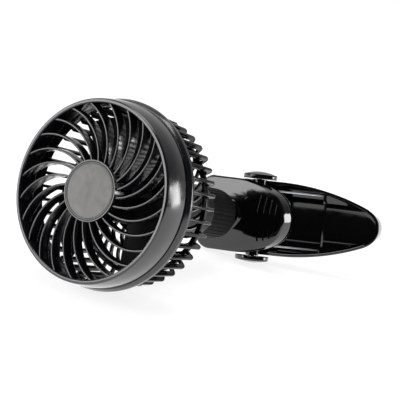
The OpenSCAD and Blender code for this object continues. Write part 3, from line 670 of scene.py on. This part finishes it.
for vert in blade.verts:
    turn = Matrix.Rotation(radians(blade_phase + blade_wrap * vert.co.z / blade_len), 3, "Z")
    vert.co = turn @ vert.co + Vector((0, 0, blade_back_z))
set_in(mesh, blade, [Matrix.Rotation(radians(120 * i), 4, "Z") for i in range(3)])
finish_piece(mesh, "three_blade_impeller", head, matt_abs, "rotor", "black_satin", "impeller")

# Rear cage: the wide band behind the seam, forty rounded ribs that bend in at the back, and the swirl of
# curved bars between two rings and the centre plate. One black ABS moulding: the ribs are satin, with thin
# lights along their edges, and the band is polished graphite black like the bezel in front of it.
cage_r = 60.5
rib_count = 40
rib_deep = 3.6
cage_rib_t = 2.1
rib_corner = 4.5
back_t = 3.4
plate_r = 24.5
outer_ring = 51.5
middle_ring = 36.0
band_r = 66.4
band_front_r = 64.8
spigot_r = 61.5
band_front_z = seam_z - 0.3
satin_abs = moulded("satin_black_abs", "#030304", "#070708", 0.18, 0.04, 0.5, 0.002, sheen=0.13)
graphite_abs = moulded("graphite_abs", "#0c0d10", "#131418", 0.17, 0.04, 0.5, 0.003, 0.01)
mesh = turned(eased([(duct_r, band_z), (band_r - 0.2, band_z), (band_r, band_z + 0.6), (band_r, band_z + 3),
                     (band_front_r, band_front_z), (spigot_r, band_front_z), (spigot_r, seam_z + 2.4),
                     (duct_r, seam_z + 2.4)], 0.5), 192)
inner_r = cage_r - rib_deep
bend = rib_corner - rib_deep + 1.5
bend_r = cage_r - rib_corner
rib = [(inner_r + 1, band_z + 1), (duct_r + 2.5, band_z + 1)]
rib += [(bend_r + rib_corner * cos(radians(a)), back_z + rib_corner - rib_corner * sin(radians(a)))
        for a in range(0, 91, 10)]
rib += [(50, back_z), (50, back_z + back_t)]
rib += [(inner_r - bend + bend * cos(radians(a)), back_z + back_t + bend - bend * sin(radians(a)))
        for a in range(90, -1, -18)]
on_edge = Matrix.Rotation(pi / 2, 4, "X")
rib_ways = [Matrix.Rotation(2 * pi * i / rib_count, 4, "Z") @ on_edge for i in range(rib_count)]
set_in(mesh, softened(raised(rib, -cage_rib_t / 2, cage_rib_t / 2), 0.55), rib_ways)
for radius, half_width in ((outer_ring, 1.8), (middle_ring, 1.2)):
    ring = [(radius - half_width, back_z), (radius + half_width, back_z),
            (radius + half_width, back_z + back_t), (radius - half_width, back_z + back_t)]
    set_in(mesh, turned(eased(ring, 0.7), 144))


def curved_bar(r0, r1, sweep, lean, section, steps):
    """A bar curved as one arc from radius r0 to r1: a section of (offset, height) spun about its centre."""
    chord = Vector((r1 * cos(radians(sweep)) - r0, r1 * sin(radians(sweep))))
    half_turn = atan2(chord.y, chord.x) - radians(lean)
    arc_r = chord.length / (2 * sin(half_turn))
    mesh = bmesh.new()
    points = [mesh.verts.new((arc_r + u, 0, v)) for u, v in section]
    edges = [mesh.edges.new(pair) for pair in zip(points, points[1:] + points[:1])]
    bmesh.ops.spin(mesh, geom=points + edges, cent=(0, 0, 0), axis=(0, 0, 1), angle=2 * half_turn,
                   steps=steps)
    bmesh.ops.holes_fill(mesh, edges=[e for e in mesh.edges if e.is_boundary])
    place = (Matrix.Translation((r0, 0, 0)) @ Matrix.Rotation(radians(lean), 4, "Z")
             @ Matrix.Translation((0, arc_r, 0)) @ Matrix.Rotation(-pi / 2, 4, "Z"))
    mesh.transform(place)
    return mesh


def bar_section(width, low, high, ease):
    """The section of a bar with rounded corners."""
    return eased([(-width / 2, low), (width / 2, low), (width / 2, high), (-width / 2, high)], ease)


bar_low, bar_high = back_z + 0.2, back_z + back_t - 0.2
outer_bar = curved_bar(middle_ring, outer_ring, 13, 0, bar_section(1.9, bar_low, bar_high, 0.6), 6)
set_in(mesh, outer_bar, [Matrix.Rotation(2 * pi * (i - 1.5) / rib_count, 4, "Z")
                         for i in range(rib_count)])
inner_bar = curved_bar(plate_r - 1, middle_ring, 17, 0, bar_section(2.1, bar_low, bar_high, 0.6), 6)
set_in(mesh, inner_bar, [Matrix.Rotation(2 * pi * (i - 3.5) / rib_count, 4, "Z")
                         for i in range(0, rib_count, 2)])
plate_hole_r, plate_high = 6.2, back_z + 3.6
set_in(mesh, turned(eased([(plate_hole_r, back_z), (plate_r, back_z), (plate_r, plate_high),
                           (plate_hole_r, plate_high)], 0.6)))
cage = finish_piece(mesh, "cage", head, satin_abs, "head", "black_satin", "rear_cage")
cage.data.materials.append(graphite_abs)
band_side_z = band_z + 1.05
for face in cage.data.polygons:
    if (head.inverted() @ face.center).z > band_side_z:
        face.material_index = 1

# Front grille: the conical bezel, twenty-four curved spokes and the hub, one glossy moulding.
# Graphite-black ABS: the bezel's rolled lip and the spokes' rounded front edges catch thin pale lines.
lip_r = 62.8
bezel_r = 64.2
bezel_swell = 0.65
spoke_count = 24
spoke_t = 1.5
spoke_deep = 9.0
spoke_sweep = 33.0
spoke_lean = 11.0
spoke_start = 8.0
grille_hub_r = 21.0
badge_r = 20.0
spoke_top = lip_z - 1.4
hub_back = spoke_top - spoke_deep - 0.5
socket_r = spigot_r + 0.2
bezel_len = lip_z - 1.0 - seam_z
side = [(bezel_r + (lip_r - bezel_r) * i / 10 + bezel_swell * sin(pi * i / 10), seam_z + bezel_len * i / 10)
        for i in range(11)]
inside = [(lip_r - 0.7, lip_z), (duct_r, lip_z), (duct_r - 0.6, lip_z - 0.8), (duct_r - 0.6, seam_z + 4.6),
          (duct_r, seam_z + 3.6), (socket_r, seam_z + 3.2)]
mesh = turned(eased([(socket_r, seam_z)] + side + inside, 0.32), 240)
spoke = curved_bar(grille_hub_r - 0.5, duct_r, spoke_sweep, spoke_lean,
                   bar_section(spoke_t, hub_back + 0.5, spoke_top, 0.7), 20)
set_in(mesh, spoke, [Matrix.Rotation(radians(spoke_start + 360 / spoke_count * i), 4, "Z")
                     for i in range(spoke_count)])
hub = [(0, hub_back + 7), (grille_hub_r - 3, hub_back + 7), (grille_hub_r - 3, hub_back),
       (grille_hub_r, hub_back), (grille_hub_r, lip_z - 0.1), (badge_r + 0.1, lip_z - 0.1),
       (badge_r + 0.1, lip_z - 2), (0, lip_z - 2)]
set_in(mesh, turned(eased(hub, 0.15, False), 128, False))
finish_piece(mesh, "grille", head, graphite_abs, "head", "black_gloss", "front_grille")

# Badge: a round plastic disc with a silver lacquer, pressed into the hub and left bare.
# Satin mid grey with the fine grain of metal flakes; its raised edge shows as a thin bright ring.
badge_metal = moulded("silver_lacquer", "#434341", "#4b4a49", 0.42, 0.04, 0.25, 0.012)
badge_metal.node_tree.nodes["Principled BSDF"].inputs["Metallic"].default_value = 0.6
badge = [(0, lip_z - 2), (badge_r, lip_z - 2), (badge_r, lip_z - 0.4), (badge_r - 0.5, lip_z + 0.15),
         (badge_r - 1.2, lip_z + 0.05), (badge_r - 1.6, lip_z - 0.3), (0, lip_z - 0.2)]
mesh = turned(eased(badge, 0.25, False), 128, False)
finish_piece(mesh, "badge", head, badge_metal, "head", "silver_badge", "hub_badge")

# Table: a plain white sheet of matt paper under the fan, which is only staged and is no piece of it.
# It keeps the fan's shadow, and the camera sees it lifted to the white of the photograph's ground.
sheet_share = 0.62
sheet = bmesh.new()
bmesh.ops.create_grid(sheet, x_segments=1, y_segments=1, size=6)
data = bpy.data.meshes.new("table")
sheet.to_mesh(data)
sheet.free()
table = bpy.data.objects.new("table", data)
bpy.context.scene.collection.objects.link(table)
table_white = bpy.data.materials.new("white_sheet")
table_white.use_nodes = True
tree = table_white.node_tree
paper = tree.nodes["Principled BSDF"]
paper.inputs["Roughness"].default_value = 0.9
paper.inputs["Base Color"].default_value = linear("#e6e6e6")
fibres = add(tree, "TexNoise", {"Scale": 400.0})
tree.links.new(add(tree, "TexCoord").outputs["Object"], fibres.inputs["Vector"])
relief = add(tree, "Bump", {"Height": fibres.outputs["Fac"], "Distance": 0.00003})
tree.links.new(relief.outputs["Normal"], paper.inputs["Normal"])
seen = add(tree, "LightPath")
lift = add(tree, "MapRange", {"Value": seen.outputs["Is Camera Ray"], "To Min": 2.4, "To Max": 1.3})
glow = add(tree, "Emission", {"Color": (1, 1, 1, 1), "Strength": lift.outputs["Result"]})
clear = add(tree, "Math", {0: seen.outputs["Is Camera Ray"], 1: seen.outputs["Is Glossy Ray"]},
            operation="MAXIMUM")
share = add(tree, "Math", {0: clear.outputs[0], 1: sheet_share}, operation="MULTIPLY")
both = add(tree, "MixShader", {"Fac": share.outputs[0]})
tree.links.new(paper.outputs[0], both.inputs[1])
tree.links.new(glow.outputs[0], both.inputs[2])
tree.links.new(both.outputs[0], tree.nodes["Material Output"].inputs["Surface"])
data.materials.append(table_white)

# Studio: a white backdrop behind the fan and a dark room behind the camera, which the gloss reflects, with
# one soft box over the table, a square one on the left in front and a small one on the right behind.
world = bpy.data.worlds.new("studio")
bpy.context.scene.world = world
world.use_nodes = True
tree = world.node_tree
seen = add(tree, "LightPath")
way = add(tree, "SeparateXYZ", {0: add(tree, "TexCoord").outputs["Generated"]})
room = add(tree, "MapRange", {"Value": way.outputs["Y"], "From Min": 0.1, "From Max": 0.9,
                              "To Min": 0.03, "To Max": 0.75})
soft = add(tree, "MapRange", {"Value": seen.outputs["Is Glossy Ray"], "To Min": 0.62,
                              "To Max": room.outputs["Result"]})
level = add(tree, "MapRange", {"Value": seen.outputs["Is Camera Ray"], "To Min": soft.outputs["Result"],
                               "To Max": 1.0})
tree.links.new(level.outputs["Result"], tree.nodes["Background"].inputs["Strength"])
tree.nodes["Background"].inputs["Color"].default_value = (1, 1, 1, 1)

for name, place, target, width, height, watts in (
    ("top_box", (-0.1, 0.25, 1.3), (0, 0, 0), 1.0, 0.6, 9.0),
    ("left_box", (-1.12, -0.54, 0.42), (0, 0, 0.08), 0.8, 0.8, 14.0),
    ("right_box", (1.38, 0.3, 0.25), (0, 0, 0.06), 0.4, 0.45, 7.0),
):
    lamp = bpy.data.lights.new(name, "AREA")
    lamp.shape = "RECTANGLE"
    lamp.size, lamp.size_y, lamp.energy = width, height, watts
    box = bpy.data.objects.new(name, lamp)
    box.location = place
    box.rotation_euler = (Vector(target) - Vector(place)).to_track_quat("-Z", "Y").to_euler()
    bpy.context.scene.collection.objects.link(box)

# Camera: a long lens about a metre away, a little above the fan and rolled by twelve degrees.
# Its place and turn were worked out from the ellipses of the bezel and the badge in the photograph.
camera_at = Vector((-0.001112, -0.975364, 0.319968))
right = Vector((0.97769, 0.06163, 0.20081)).normalized()
up = Vector((-0.20988, 0.24797, 0.94576))
lens = bpy.data.cameras.new("camera")
lens.lens = 126
lens.sensor_width = 36
lens.clip_end = 20
camera = bpy.data.objects.new("camera", lens)
up = (up - up.dot(right) * right).normalized()
back = right.cross(up)
turn = Matrix((right, up, back)).transposed().to_4x4()
camera.matrix_world = Matrix.Translation(camera_at) @ turn
bpy.context.scene.collection.objects.link(camera)
bpy.context.scene.camera = camera
bpy.context.scene.view_settings.view_transform = "Standard"
